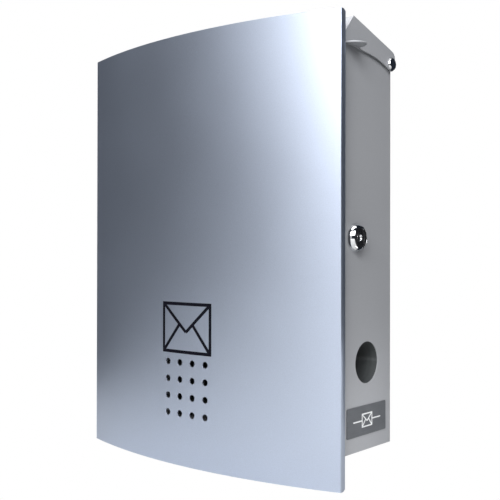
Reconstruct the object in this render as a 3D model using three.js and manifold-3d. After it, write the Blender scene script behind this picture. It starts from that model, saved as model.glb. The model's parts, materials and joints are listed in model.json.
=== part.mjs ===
// A wall mounted mailbox in sheet metal: a grey box on two wall rails, a bowed front panel on a
// hinged door, a sloping lid over the mail slot, a cam lock in the right side and a newspaper tube.
//
// Millimetres. X runs to the viewer's right, Y into the wall and Z up. The pieces are drawn with
// Y = 0 on the back of the box and Z = 0 at the front panel's middle height. The group is then
// moved so that its origin lies on the wall, in the middle of the upper rail.

import * as THREE from 'three';
import { mergeVertices } from 'three/addons/utils/BufferGeometryUtils.js';
import Module from 'manifold-3d';

const wasm = await Module();
wasm.setup();

// ---------------------------------------------------------------- driving dimensions

const clearance = 0.3;
const mergeDistance = 1e-4;
const overcut = 1;

const panel = {
  width: 350,
  height: 450,
  rise: 26.25,
  sheet: 1.2,
  edgeY: -102.1,
  returnDepth: 7.1,
  arcSteps: 28,
};
const panelNotch = { slantY: 2.5, slantZ: 2.7, cornerX: 2.5, cornerY: 1.6, gapZ: 0.8 };
const body = {
  width: 335,
  depth: 92,
  sheet: 1,
  bottomZ: -195.7,
  topFrontZ: 200.8,
  topBackZ: 197,
  frontReturn: 12,
};
const ear = { radius: 3.4, gap: 1.7, rightX: -150, rootHeight: 12 };
const tray = { wall: 14, drainX: 120, drainY: [-20, -72], drainRadius: 3 };
const strip = { footZ: 180, topZ: 200, backY: -76 };
const pan = { left: -168.2, right: 172.9, bottomZ: -205, topZ: 208, backY: -93.5, frontY: -100.6, sheet: 1 };
const windowSize = { marginX: 32, marginZ: 14, corner: 8 };
const rib = { heights: [150, -30], halfWidth: 150 };
const lid = {
  width: 341.2,
  sheet: 1,
  ridge: { y: -74.5, z: 224.3 },
  knee: { y: -89.8, z: 205.7 },
  hem: { y: -78, z: 202.4 },
  backTop: { y: -7.5, z: 204.5 },
  back: { y: 2.8, footZ: 194.9, bend: 7.5 },
};
const cheek = {
  frontY: -89.4,
  frontZ: 196.3,
  knuckle: 7.2,
  lowerCurve: [[-6.5, 182.9], [-28, 191.8], [-48, 192.9]],
};
const lidPivot = { y: -5.3, z: 189.5, rodRadius: 2.5, rodProud: 1.8 };
const lidWasher = { radius: 5, play: 0.2 };
const bumper = { x: 110, y: -83, radius: 5 };
const cap = { radius: 6.7, rim: 1.2, rise: 2.7 };
const tab = { centreY: -77, halfLength: 13, reach: 14.4, topZ: 196.8 };
const doorPin = { x: -170.6, y: -97.9, radius: 1.75, play: 0.2, depth: 6, headRadius: 3, headHeight: 1.4 };
const doorWasher = { radius: 2.6, play: 0.15 };
const tube = { y: -45.5, z: -110.3, radius: 20.2, wall: 1.2 };
const lock = {
  y: -66.5,
  z: 11.9,
  bezelRadius: 14.3,
  bezelEdge: 1,
  faceRadius: 10.7,
  lip: 0.8,
  recess: 2,
  proud: 6.3,
  barrelRadius: 9,
  plugRadius: 5.3,
  backX: 149,
};
const keyway = { width: 1.6, height: 7.6, depth: 6 };
const lockNut = { radius: 12.7, thickness: 4.7, washerRadius: 12, washerThickness: 1.2 };
const cam = { outerX: 147.2, thickness: 2, width: 14, reach: 23, chamfer: 3 };
const camScrew = { radius: 4, height: 2.3 };
const catchPlate = {
  sheet: 1.5,
  armInset: 9,
  foot: 24,
  lip: 12,
  gap: 3.5,
  bottomZ: -27,
  topZ: -3,
  rivetZ: [-9, -21],
};
const rail = {
  standoff: 10,
  length: 300,
  web: 24,
  foot: 9,
  sheet: 1.5,
  upperZ: 150,
  lowerZ: -150,
  screwX: 110,
  screwRadius: 3.25,
  driverRadius: 4.5,
  rivetX: 135,
};
const rivetSize = { shank: 2, head: 3.8, headDepth: 1.2 };
const label = { frontY: -81.7, backY: -11.3, topZ: -151.8, bottomZ: -180.6, thickness: 0.8, corner: 1.4 };
const labelMark = { width: 19, height: 13.6, stroke: 1.3, ink: 0.2, ruleLength: 15 };
const vents = { count: 4, pitch: 17.8, radius: 3.5, topZ: -117.4 };
const picture = { width: 70, bottomZ: -108, topZ: -54.5, stroke: 3.4, ink: 0.3 };

// ---------------------------------------------------------------- derived dimensions

const sideX = body.width / 2;
const sideInnerX = sideX - body.sheet;
const panelX = panel.width / 2;
const panelRadius = (panelX ** 2 + panel.rise ** 2) / (2 * panel.rise);
const panelCentreY = panel.edgeY + panelRadius - panel.rise;
const cheekOuterX = lid.width / 2;
const cheekInnerX = cheekOuterX - lid.sheet;
const lidAxis = [lidPivot.y, lidPivot.z];
const lockAxis = [lock.y, lock.z];
const rodEndX = cheekOuterX + lidPivot.rodProud;
const pinAxis = [doorPin.x, doorPin.y];
const earZ = pan.topZ + ear.gap;
const lowerEarZ = pan.bottomZ - ear.gap;
const catchRivets = catchPlate.rivetZ.map((z) => [cam.outerX - catchPlate.armInset - catchPlate.foot / 2, z]);
const railFootZ = (z) => z + rail.web / 2 + rail.foot / 2;

// ---------------------------------------------------------------- shapes and solids

const point = ([x, y]) => new THREE.Vector2(x, y);
const outline = (points) => new THREE.Shape(points.map(point));

/** A closed three.js geometry as a solid that can be joined and cut. */
function toSolid(geometry) {
  geometry.deleteAttribute('normal');
  geometry.deleteAttribute('uv');
  const merged = mergeVertices(geometry, mergeDistance);
  const triangles = [];
  for (let i = 0; i < merged.index.count; i += 3) {
    const [a, b, c] = [0, 1, 2].map((k) => merged.index.getX(i + k));
    if (a !== b && b !== c && c !== a) triangles.push(a, b, c);
  }
  return new wasm.Manifold(new wasm.Mesh({
    numProp: 3,
    vertProperties: new Float32Array(merged.attributes.position.array),
    triVerts: new Uint32Array(triangles),
  }));
}

/** A solid as a three.js geometry with flat faces. */
function toGeometry(solid) {
  const mesh = solid.getMesh();
  const geometry = new THREE.BufferGeometry();
  geometry.setAttribute('position', new THREE.BufferAttribute(mesh.vertProperties, 3));
  geometry.setIndex(new THREE.BufferAttribute(mesh.triVerts, 1));
  geometry.computeVertexNormals();
  return geometry;
}

// What a shape's own axes become when it is pushed along X, Y or Z: a shape pushed along X is drawn
// in (y, z), one pushed along Y in (x, z), and one pushed along Z in (x, y).
const pushedAlong = {
  x: new THREE.Matrix4().set(0, 0, 1, 0, 1, 0, 0, 0, 0, 1, 0, 0, 0, 0, 0, 1),
  y: new THREE.Matrix4().set(1, 0, 0, 0, 0, 0, -1, 0, 0, 1, 0, 0, 0, 0, 0, 1),
  z: new THREE.Matrix4(),
};

/** A flat shape made into a solid that reaches from one place on an axis to another. */
function slab(shape, axis, from, to) {
  const geometry = new THREE.ExtrudeGeometry(shape, { depth: to - from, bevelEnabled: false });
  geometry.translate(0, 0, axis === 'y' ? -to : from);
  return toSolid(geometry.applyMatrix4(pushedAlong[axis]));
}

/** A box between two corners. */
function block(low, high) {
  const size = high.map((value, i) => value - low[i]);
  const middle = high.map((value, i) => (value + low[i]) / 2);
  return toSolid(new THREE.BoxGeometry(...size).translate(...middle));
}

/** A round bar on a line through (y, z), (x, z) or (x, y), for a bar along X, Y or Z. */
function bar(axis, [u, v], radius, from, to, sides = 20) {
  const geometry = new THREE.CylinderGeometry(radius, radius, to - from, sides);
  geometry.rotateX(Math.PI / 2).translate(0, 0, (from + to) / 2);
  if (axis === 'y') geometry.rotateX(Math.PI / 2).translate(u, from + to, v);
  if (axis === 'x') geometry.rotateY(Math.PI / 2).translate(0, u, v);
  if (axis === 'z') geometry.translate(u, v, 0);
  return toSolid(geometry);
}

/** A profile of [radius, distance] points turned about a line along X through (y, z), to one side. */
function turnedAlongX(profile, [y, z], sides = 24, side = 1) {
  const geometry = new THREE.LatheGeometry(profile.map(point), sides);
  return toSolid(geometry.rotateZ((-side * Math.PI) / 2).translate(0, y, z));
}

/** The section of a folded sheet: the path of one face, and that path moved to its right. */
function sheetSection(path, thickness) {
  const points = path.map(point);
  const normals = points.slice(1).map((end, i) => {
    const way = end.clone().sub(points[i]).normalize();
    return new THREE.Vector2(way.y, -way.x);
  });
  const moved = points.map((corner, i) => {
    const before = normals[Math.max(i - 1, 0)];
    const after = normals[Math.min(i, normals.length - 1)];
    const mitre = before.clone().add(after).normalize();
    return corner.clone().addScaledVector(mitre, thickness / mitre.dot(before));
  });
  return new THREE.Shape([...points, ...moved.reverse()]);
}

/** Points on a round corner, from one direction to another in degrees. */
function arc([x, y], radius, fromDegrees, toDegrees, steps) {
  return Array.from({ length: steps + 1 }, (_, i) => {
    const angle = THREE.MathUtils.degToRad(fromDegrees + ((toDegrees - fromDegrees) * i) / steps);
    return [x + radius * Math.cos(angle), y + radius * Math.sin(angle)];
  });
}

/** A rectangle with round corners. */
function roundRectangle([left, bottom], [right, top], radius) {
  return outline([
    ...arc([right - radius, bottom + radius], radius, -90, 0, 4),
    ...arc([right - radius, top - radius], radius, 0, 90, 4),
    ...arc([left + radius, top - radius], radius, 90, 180, 4),
    ...arc([left + radius, bottom + radius], radius, 180, 270, 4),
  ]);
}

/** The bowed panel's outer face seen from above, moved inwards, from its left to its right. */
function bow(inwards, halfWidth = panelX) {
  const radius = panelRadius - inwards;
  const half = THREE.MathUtils.radToDeg(Math.asin(halfWidth / radius));
  return arc([0, panelCentreY], radius, 270 - half, 270 + half, panel.arcSteps);
}

/** A rivet along Y through sheets that lie between two depths, with a flat round head at each end. */
function rivet([x, z], frontY, backY) {
  const front = frontY - clearance;
  const back = backY + clearance;
  return join([
    bar('y', [x, z], rivetSize.shank, front - clearance, back + clearance, 12),
    bar('y', [x, z], rivetSize.head, front - rivetSize.headDepth, front, 12),
    bar('y', [x, z], rivetSize.head, back, back + rivetSize.headDepth, 12),
  ]);
}

const rivetHole = (centre, frontY, backY) => bar('y', centre, rivetSize.shank + clearance, frontY, backY, 12);
const cut = (solid, cutters) => cutters.reduce((left, cutter) => left.subtract(cutter), solid);
const join = (solids) => solids.reduce((all, solid) => all.add(solid));

// ---------------------------------------------------------------- finishes and assembly

const finishes = {
  silver: { color: 0xa9b2c6, roughness: 0.38, metalness: 0.85 },
  grey: { color: 0x8f9094, roughness: 0.5, metalness: 0.3 },
  zinc: { color: 0x9a9d9f, roughness: 0.45, metalness: 0.9 },
  pipe: { color: 0x3b3d3f, roughness: 0.5, metalness: 0 },
  chrome: { color: 0xdcdde0, roughness: 0.08, metalness: 1 },
  black: { color: 0x101114, roughness: 0.35, metalness: 0 },
  rubber: { color: 0x1a1a1b, roughness: 0.9, metalness: 0 },
  nylon: { color: 0xd8d6ce, roughness: 0.6, metalness: 0 },
  tag: { color: 0x55585c, roughness: 0.5, metalness: 0.2 },
  white: { color: 0xe6e8ea, roughness: 0.6, metalness: 0 },
};

const mailbox = new THREE.Group();
mailbox.position.set(0, -rail.standoff, -rail.upperZ);

/** Adds one finished piece to the mailbox. */
function addPiece(name, finish, solid) {
  const mesh = new THREE.Mesh(toGeometry(solid), new THREE.MeshStandardMaterial(finishes[finish]));
  mesh.name = name;
  mailbox.add(mesh);
}

// ---------------------------------------------------------------- box

/** Back, two sides and two front returns in one sheet, with the ears that carry the door's pins. */
function bodyShell() {
  const front = -body.depth;
  const lip = sideX - body.frontReturn;
  const path = [[-lip, front], [-sideX, front], [-sideX, 0], [sideX, 0], [sideX, front], [lip, front]];
  const shell = slab(sheetSection(path, body.sheet), 'z', body.bottomZ, body.topFrontZ);
  const endX = sideX + overcut;
  const aboveTop = outline([
    [front - overcut, body.topFrontZ],
    [overcut, body.topBackZ],
    [overcut, body.topFrontZ + overcut],
    [front - overcut, body.topFrontZ + overcut],
  ]);
  const cutters = [
    slab(aboveTop, 'x', -endX, endX),
    bar('x', lockAxis, lock.barrelRadius + clearance, sideInnerX - overcut, endX),
    bar('x', [tube.y, tube.z], tube.radius, -endX, endX, 40),
    bar('x', lidAxis, lidPivot.rodRadius + clearance, -endX, endX),
  ];
  for (const z of [rail.upperZ, rail.lowerZ]) {
    for (const x of [-rail.screwX, rail.screwX]) {
      cutters.push(bar('y', [x, z], rail.driverRadius, -body.sheet - overcut, overcut));
    }
    for (const x of [-rail.rivetX, rail.rivetX]) {
      cutters.push(rivetHole([x, railFootZ(z)], -body.sheet - overcut, overcut));
    }
  }
  const upperEar = doorEar(earZ, earZ + body.sheet, body.topFrontZ - ear.rootHeight);
  const lowerEar = doorEar(lowerEarZ - body.sheet, lowerEarZ, body.bottomZ + ear.rootHeight);
  return join([cut(shell, cutters), upperEar, lowerEar]);
}

/** The hole that a door pin turns in, through everything between two heights. */
const pinHole = (bottomZ, topZ) => (
  bar('z', pinAxis, doorPin.radius + doorPin.play, bottomZ - overcut, topZ + overcut)
);

/** A tongue that carries on the left front return, folded forward into an ear with a pin hole. */
function doorEar(bottomZ, topZ, rootZ) {
  const front = -body.depth;
  const shape = outline([
    [ear.rightX, front + body.sheet],
    [doorPin.x, front + body.sheet],
    ...arc(pinAxis, ear.radius, 90, 270, 12),
    [ear.rightX, doorPin.y - ear.radius],
  ]);
  const tongue = block(
    [-sideX, front, Math.min(rootZ, bottomZ)],
    [ear.rightX, front + body.sheet, Math.max(rootZ, topZ)],
  );
  return slab(shape, 'z', bottomZ, topZ).add(tongue).subtract(pinHole(bottomZ, topZ));
}

/** The floor of the box: a shallow tray with drain holes. */
function bottomPanel() {
  const x = sideInnerX - clearance;
  const frontY = -body.depth + body.sheet + clearance;
  const backY = -body.sheet - clearance;
  const floorZ = body.bottomZ + body.sheet;
  const outside = block([-x, frontY, body.bottomZ], [x, backY, body.bottomZ + tray.wall]);
  const inside = block(
    [-x + body.sheet, frontY + body.sheet, floorZ],
    [x - body.sheet, backY - body.sheet, body.bottomZ + tray.wall + overcut],
  );
  const drains = [-tray.drainX, tray.drainX].flatMap((drainX) => tray.drainY.map((drainY) => (
    bar('z', [drainX, drainY], tray.drainRadius, body.bottomZ - overcut, floorZ + overcut, 16)
  )));
  return cut(outside, [inside, ...drains]);
}

/** The folded strip across the top of the door opening, which the closed lid rests over. */
function topRail() {
  const x = sideInnerX - clearance;
  const y = -body.depth + body.sheet + clearance;
  const path = [[y, strip.footZ], [y, strip.topZ], [strip.backY, strip.topZ]];
  return slab(sheetSection(path, body.sheet), 'x', -x, x);
}

/** A hat-section rail that holds the box off the wall, with two screw holes. */
function wallRail(z) {
  const flangeY = clearance + rail.sheet;
  const half = rail.web / 2;
  const path = [
    [flangeY, z + half + rail.foot],
    [flangeY, z + half],
    [rail.standoff, z + half],
    [rail.standoff, z - half],
    [flangeY, z - half],
    [flangeY, z - half - rail.foot],
  ];
  const hat = slab(sheetSection(path, rail.sheet), 'x', -rail.length / 2, rail.length / 2);
  const webY = rail.standoff - rail.sheet;
  return cut(hat, [
    ...[-rail.screwX, rail.screwX].map((x) => (
      bar('y', [x, z], rail.screwRadius, webY - overcut, rail.standoff + overcut)
    )),
    ...[-rail.rivetX, rail.rivetX].map((x) => rivetHole([x, railFootZ(z)], 0, flangeY + overcut)),
  ]);
}

/** The tube that runs from side to side for a rolled newspaper. */
function newspaperTube() {
  const end = sideInnerX - clearance;
  const bore = tube.radius + clearance;
  const outside = bar('x', [tube.y, tube.z], bore + tube.wall, -end, end, 40);
  return outside.subtract(bar('x', [tube.y, tube.z], bore, -end - overcut, end + overcut, 40));
}

addPiece('body_shell', 'grey', bodyShell());
addPiece('bottom_panel', 'grey', bottomPanel());
addPiece('top_rail', 'grey', topRail());
addPiece('wall_rail_upper', 'zinc', wallRail(rail.upperZ));
addPiece('wall_rail_lower', 'zinc', wallRail(rail.lowerZ));
addPiece('newspaper_tube', 'pipe', newspaperTube());

// ---------------------------------------------------------------- lid

/** The lid's outline in (y, z) from its knee over the ridge and round the bend at the back. */
function lidRoof() {
  const slope = Math.atan2(lid.ridge.z - lid.backTop.z, lid.backTop.y - lid.ridge.y);
  const bendY = lid.back.y - lid.back.bend;
  const slopeZ = lid.backTop.z - (bendY - lid.backTop.y) * Math.tan(slope);
  const bendCentre = [bendY, slopeZ - lid.back.bend / Math.cos(slope)];
  return [
    [lid.knee.y, lid.knee.z],
    [lid.ridge.y, lid.ridge.z],
    ...arc(bendCentre, lid.back.bend, 90 - THREE.MathUtils.radToDeg(slope), 0, 6),
    [lid.back.y, lid.back.footZ],
  ];
}

/** The lid in one sheet: hem, front, ridge, roof and back lip, with a cheek and a tab on each side. */
function lidCover() {
  const path = [[lid.hem.y, lid.hem.z], [lid.knee.y, lid.hem.z], ...lidRoof()];
  const sheet = slab(sheetSection(path, lid.sheet), 'x', -cheekOuterX, cheekOuterX);
  const lowerEdge = new THREE.QuadraticBezierCurve(...cheek.lowerCurve.map(point));
  const cheekShape = outline([
    ...lidRoof(),
    ...arc(lidAxis, cheek.knuckle, 20, -95, 8),
    ...lowerEdge.getPoints(8).map((p) => [p.x, p.y]),
    [cheek.frontY, cheek.frontZ],
    [cheek.frontY, lid.knee.z],
  ]);
  const cheeks = [
    slab(cheekShape, 'x', -cheekOuterX, -cheekInnerX),
    slab(cheekShape, 'x', cheekInnerX, cheekOuterX),
  ];
  const tabs = [-1, 1].map((side) => fingerTab(side));
  const endX = cheekOuterX + overcut;
  const pivotHole = bar('x', lidAxis, lidPivot.rodRadius + clearance, -endX, endX);
  return join([sheet, ...cheeks, ...tabs]).subtract(pivotHole);
}

/** The half-round lip bent outwards from a cheek's lower edge, for lifting the lid. */
function fingerTab(side) {
  const rootX = cheekOuterX - lid.sheet / 2;
  const rim = arc([0, 0], 1, -90, 90, 16).map(([u, v]) => (
    [side * (rootX + u * (tab.reach + lid.sheet / 2)), tab.centreY + v * tab.halfLength]
  ));
  return slab(outline(rim), 'z', tab.topZ - lid.sheet, tab.topZ);
}

/** A domed push-on cap on one end of the lid's hinge rod. */
function hingeCap(side) {
  const base = cheekOuterX + clearance;
  const bore = lidPivot.rodRadius + clearance;
  const boreEnd = rodEndX + clearance;
  const dome = arc([0, 0], 1, 0, 90, 4).map(([u, v]) => [cap.radius * u, base + cap.rim + cap.rise * v]);
  const profile = [[0, boreEnd], [bore, boreEnd], [bore, base], [cap.radius, base], ...dome];
  return turnedAlongX(profile, lidAxis, 24, side);
}

/** A flat ring on a line along X or Z. */
function washer(axis, centre, outerRadius, innerRadius, from, to, sides = 20) {
  return bar(axis, centre, outerRadius, from, to, sides)
    .subtract(bar(axis, centre, innerRadius, from - overcut, to + overcut, sides));
}

addPiece('lid_cover', 'grey', lidCover());
addPiece('lid_hinge_rod', 'zinc', bar('x', lidAxis, lidPivot.rodRadius, -rodEndX, rodEndX));
for (const [side, name] of [[-1, 'left'], [1, 'right']]) {
  const ends = [side * (sideX + clearance), side * (cheekInnerX - clearance)].sort((a, b) => a - b);
  const bore = lidPivot.rodRadius + lidWasher.play;
  const place = [side * bumper.x, bumper.y];
  const stop = bar('z', place, bumper.radius, strip.topZ + clearance, lid.hem.z - clearance);
  addPiece(`hinge_cap_${name}`, 'chrome', hingeCap(side));
  addPiece(`lid_washer_${name}`, 'nylon', washer('x', lidAxis, lidWasher.radius, bore, ...ends));
  addPiece(`lid_bumper_${name}`, 'rubber', stop);
}

// ---------------------------------------------------------------- cam lock

const bezelBaseX = sideX + clearance;
const bezelFaceX = bezelBaseX + lock.proud;
const recessX = bezelFaceX - lock.recess;
const recessRadius = lock.faceRadius - lock.lip;
const plugBore = lock.plugRadius + clearance;
const barrelHole = lock.barrelRadius + clearance;

/** The flared bezel outside the wall and the threaded barrel behind it, with a recess for the face. */
function lockHousing() {
  return turnedAlongX([
    [plugBore, lock.backX],
    [lock.barrelRadius, lock.backX],
    [lock.barrelRadius, bezelBaseX],
    [lock.bezelRadius, bezelBaseX],
    [lock.bezelRadius, bezelBaseX + lock.bezelEdge],
    [lock.faceRadius, bezelFaceX],
    [recessRadius, bezelFaceX],
    [recessRadius, recessX],
    [plugBore, recessX],
    [plugBore, lock.backX],
  ], lockAxis, 32);
}

/** The turning plug, with a keyway in its face. */
function lockPlug() {
  const faceX = bezelFaceX - clearance;
  const plug = bar('x', lockAxis, lock.plugRadius, cam.outerX + clearance, faceX, 32);
  return plug.subtract(block(
    [faceX - keyway.depth, lock.y - keyway.width / 2, lock.z - keyway.height / 2],
    [faceX + overcut, lock.y + keyway.width / 2, lock.z + keyway.height / 2],
  ));
}

/** The flat hook on the back of the plug. It points forwards when the lock is open. */
function lockCam() {
  const half = cam.width / 2;
  const tipY = lock.y - cam.reach;
  const shape = outline([
    ...arc(lockAxis, half, -90, 90, 10),
    [tipY + cam.chamfer, lock.z + half],
    [tipY, lock.z + half - cam.chamfer],
    [tipY, lock.z - half + cam.chamfer],
    [tipY + cam.chamfer, lock.z - half],
  ]);
  return slab(shape, 'x', cam.outerX - cam.thickness, cam.outerX);
}

const lockWasherX = sideInnerX - clearance - lockNut.washerThickness;
const lockNutX = lockWasherX - clearance;
const screwHeadX = cam.outerX - cam.thickness - clearance;
const lockNutEndX = lockNutX - lockNut.thickness;
const facePlate = [recessX + clearance, bezelFaceX - clearance];
const flatRing = [lockWasherX, sideInnerX - clearance];
const nutBlank = bar('x', lockAxis, lockNut.radius, lockNutEndX, lockNutX, 6);
const nutBore = bar('x', lockAxis, barrelHole, lockNutEndX - overcut, lockNutX + overcut, 32);
addPiece('lock_housing', 'chrome', lockHousing());
addPiece('lock_face', 'black', washer('x', lockAxis, recessRadius - clearance, plugBore, ...facePlate, 32));
addPiece('lock_washer', 'zinc', washer('x', lockAxis, lockNut.washerRadius, barrelHole, ...flatRing));
addPiece('lock_nut', 'zinc', nutBlank.subtract(nutBore));
addPiece('lock_plug', 'chrome', lockPlug());
addPiece('lock_cam', 'zinc', lockCam());
addPiece('cam_screw', 'zinc', bar('x', lockAxis, camScrew.radius, screwHeadX - camScrew.height, screwHeadX));

// ---------------------------------------------------------------- door

/** The bowed front sheet with its folded edges and the square of vent holes. */
function frontPanel() {
  const half = panel.height / 2;
  const returnY = panel.edgeY + panel.returnDepth;
  const backY = returnY + overcut;
  const path = [[panelX, returnY], ...bow(0).reverse(), [-panelX, returnY]];
  const face = slab(sheetSection(path, panel.sheet), 'z', -half, half);
  const cutters = ventCutters();
  for (const way of [1, -1]) {
    const endZ = way * half;
    const slant = outline([
      [panel.edgeY + panelNotch.slantY, endZ + way * overcut],
      [backY, endZ + way * overcut],
      [backY, endZ - way * panelNotch.slantZ],
    ]);
    cutters.push(slab(slant, 'x', -panelX - overcut, panelX + overcut));
  }
  const notches = [
    [pan.topZ + panelNotch.gapZ, half + overcut],
    [-half - overcut, pan.bottomZ - panelNotch.gapZ],
  ];
  for (const [low, high] of notches) {
    cutters.push(block(
      [-panelX - overcut, panel.edgeY + panelNotch.cornerY, low],
      [-panelX + panelNotch.cornerX, backY, high],
    ));
  }
  return cut(face, cutters);
}

/** A drill for each vent hole, square to the bowed sheet. */
function ventCutters() {
  const places = Array.from({ length: vents.count }, (_, i) => i);
  return places.flatMap((column) => {
    const along = (column - (vents.count - 1) / 2) * vents.pitch;
    const turn = along / panelRadius;
    return places.map((row) => {
      const z = vents.topZ - row * vents.pitch;
      const drill = new THREE.CylinderGeometry(vents.radius, vents.radius, 4 * panel.sheet, 16);
      drill.translate(0, -panelRadius, 0).rotateZ(turn).translate(0, panelCentreY, z);
      return toSolid(drill);
    });
  });
}

/** The inner tray of the door, with hinge ears on its left and a window behind the vent holes. */
function doorPan() {
  const floorY = pan.backY - pan.sheet;
  const outside = block([pan.left, pan.frontY, pan.bottomZ], [pan.right, pan.backY, pan.topZ]);
  const inside = block(
    [pan.left + pan.sheet, pan.frontY - overcut, pan.bottomZ + pan.sheet],
    [pan.right - pan.sheet, floorY, pan.topZ - pan.sheet],
  );
  const half = ((vents.count - 1) * vents.pitch) / 2;
  const centreZ = vents.topZ - half;
  const reachX = half + windowSize.marginX;
  const reachZ = half + windowSize.marginZ;
  const opening = roundRectangle([-reachX, centreZ - reachZ], [reachX, centreZ + reachZ], windowSize.corner);
  const window = slab(opening, 'y', floorY - overcut, pan.backY + overcut);
  const ears = [pan.bottomZ, pan.topZ - pan.sheet].map((z) => block(
    [-panelX + panel.sheet + clearance, pan.frontY, z],
    [pan.left + 2 * pan.sheet, floorY, z + pan.sheet],
  ));
  const holes = catchRivets.map((place) => rivetHole(place, floorY - overcut, pan.backY + overcut));
  const shell = join([cut(outside, [inside, window]), ...ears]);
  return cut(shell, [pinHole(pan.bottomZ, pan.topZ), ...holes]);
}

/** A rib that keeps the bow of the front panel. */
function panelRib(z) {
  const backY = pan.backY - pan.sheet - clearance;
  const front = bow(panel.sheet + clearance, rib.halfWidth);
  return slab(outline([[-rib.halfWidth, backY], ...front, [rib.halfWidth, backY]]), 'z', z, z + pan.sheet);
}

/** The bracket on the door that the lock's cam hooks in front of. */
function doorCatch() {
  const armX = cam.outerX - catchPlate.armInset;
  const lipY = lock.y + cam.width / 2 + catchPlate.gap;
  const footY = pan.backY + clearance;
  const faceY = footY + catchPlate.sheet;
  const path = [[armX - catchPlate.foot, faceY], [armX, faceY], [armX, lipY], [armX + catchPlate.lip, lipY]];
  const bracket = slab(sheetSection(path, catchPlate.sheet), 'z', catchPlate.bottomZ, catchPlate.topZ);
  return cut(bracket, catchRivets.map((place) => rivetHole(place, footY - overcut, faceY + overcut)));
}

/** A straight stroke between two points, as wide across as it is told. */
function stroke([x0, y0], [x1, y1], width) {
  const along = new THREE.Vector2(x1 - x0, y1 - y0).setLength(width / 2);
  return outline([
    [x0 - along.y, y0 + along.x],
    [x0 + along.y, y0 - along.x],
    [x1 + along.y, y1 - along.x],
    [x1 - along.y, y1 + along.x],
  ]);
}

/** The shapes of a line drawing of an envelope between two corners. */
function envelopeShapes([left, bottom], [right, top], width) {
  const frame = outline([[left, bottom], [right, bottom], [right, top], [left, top]]);
  frame.holes.push(outline([
    [left + width, bottom + width],
    [left + width, top - width],
    [right - width, top - width],
    [right - width, bottom + width],
  ]));
  const inset = width / 2;
  const middle = (left + right) / 2;
  const tip = [middle, bottom + (top - bottom) * 0.42];
  const lap = new THREE.Vector2((right - left) * 0.14, (top - bottom) * 0.14);
  return [
    frame,
    stroke([left + inset, top - inset], tip, width),
    stroke([right - inset, top - inset], tip, width),
    stroke([left + inset, bottom + inset], [middle - lap.x, tip[1] + lap.y], width),
    stroke([right - inset, bottom + inset], [middle + lap.x, tip[1] + lap.y], width),
  ];
}

/** The envelope printed on the front panel, a thin skin that follows the bow. */
function frontPicture() {
  const half = picture.width / 2;
  const shapes = envelopeShapes([-half, picture.bottomZ], [half, picture.topZ], picture.stroke);
  const bowFront = panel.edgeY - panel.rise - 2 * clearance;
  const drawing = join(shapes.map((shape) => slab(shape, 'y', bowFront, panel.edgeY)));
  const paintGap = 0.05;
  const skin = outline([...bow(-paintGap - picture.ink), ...bow(-paintGap).reverse()]);
  return drawing.intersect(slab(skin, 'z', picture.bottomZ, picture.topZ));
}

addPiece('front_panel', 'silver', frontPanel());
addPiece('door_pan', 'grey', doorPan());
addPiece('panel_rib_upper', 'zinc', panelRib(rib.heights[0]));
addPiece('panel_rib_lower', 'zinc', panelRib(rib.heights[1]));
addPiece('door_catch', 'zinc', doorCatch());
catchRivets.forEach((place, i) => {
  const solid = rivet(place, pan.backY - pan.sheet, pan.backY + clearance + catchPlate.sheet);
  addPiece(`catch_rivet_${['upper', 'lower'][i]}`, 'zinc', solid);
});
addPiece('front_picture', 'black', frontPicture());

// ---------------------------------------------------------------- door pins

/** A headed pin through a body ear and the tray's ear. Its head is on the ear's far side. */
function doorPinSolid(tipZ, headZ) {
  const way = Math.sign(headZ - tipZ);
  const head = [headZ, headZ + way * doorPin.headHeight].sort((a, b) => a - b);
  const shank = [tipZ, headZ + way * clearance].sort((a, b) => a - b);
  return bar('z', pinAxis, doorPin.radius, ...shank).add(bar('z', pinAxis, doorPin.headRadius, ...head));
}

const doorWasherSolid = (from, to) => (
  washer('z', pinAxis, doorWasher.radius, doorPin.radius + doorWasher.play, from, to)
);
const upperHeadZ = earZ + body.sheet + clearance;
const lowerHeadZ = lowerEarZ - body.sheet - clearance;
addPiece('door_pin_upper', 'zinc', doorPinSolid(pan.topZ - doorPin.depth, upperHeadZ));
addPiece('door_pin_lower', 'zinc', doorPinSolid(pan.bottomZ + doorPin.depth, lowerHeadZ));
addPiece('door_washer_upper', 'nylon', doorWasherSolid(pan.topZ + clearance, earZ - clearance));
addPiece('door_washer_lower', 'nylon', doorWasherSolid(lowerEarZ + clearance, pan.bottomZ - clearance));

// ---------------------------------------------------------------- label and rivets

/** The envelope on the label, with a short rule on each side of it. */
function labelMarkSolid(faceX) {
  const middleY = (label.frontY + label.backY) / 2;
  const middleZ = (label.topZ + label.bottomZ) / 2;
  const halfY = labelMark.width / 2;
  const halfZ = labelMark.height / 2;
  const corners = [[middleY - halfY, middleZ - halfZ], [middleY + halfY, middleZ + halfZ]];
  const rules = [-1, 1].map((side) => stroke(
    [middleY + side * (halfY - labelMark.stroke / 2), middleZ],
    [middleY + side * (halfY + labelMark.ruleLength), middleZ],
    labelMark.stroke,
  ));
  const shapes = [...envelopeShapes(...corners, labelMark.stroke), ...rules];
  return join(shapes.map((shape) => slab(shape, 'x', faceX, faceX + labelMark.ink)));
}

const labelX = sideX + clearance / 3;
const labelFaceX = labelX + label.thickness;
const labelShape = roundRectangle([label.frontY, label.bottomZ], [label.backY, label.topZ], label.corner);
addPiece('label_plate', 'tag', slab(labelShape, 'x', labelX, labelFaceX));
addPiece('label_mark', 'white', labelMarkSolid(labelFaceX + clearance / 3));

for (const [railName, z] of [['upper', rail.upperZ], ['lower', rail.lowerZ]]) {
  for (const [sideName, x] of [['left', -rail.rivetX], ['right', rail.rivetX]]) {
    const solid = rivet([x, railFootZ(z)], -body.sheet, clearance + rail.sheet);
    addPiece(`rail_rivet_${railName}_${sideName}`, 'zinc', solid);
  }
}

export default mailbox;
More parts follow.
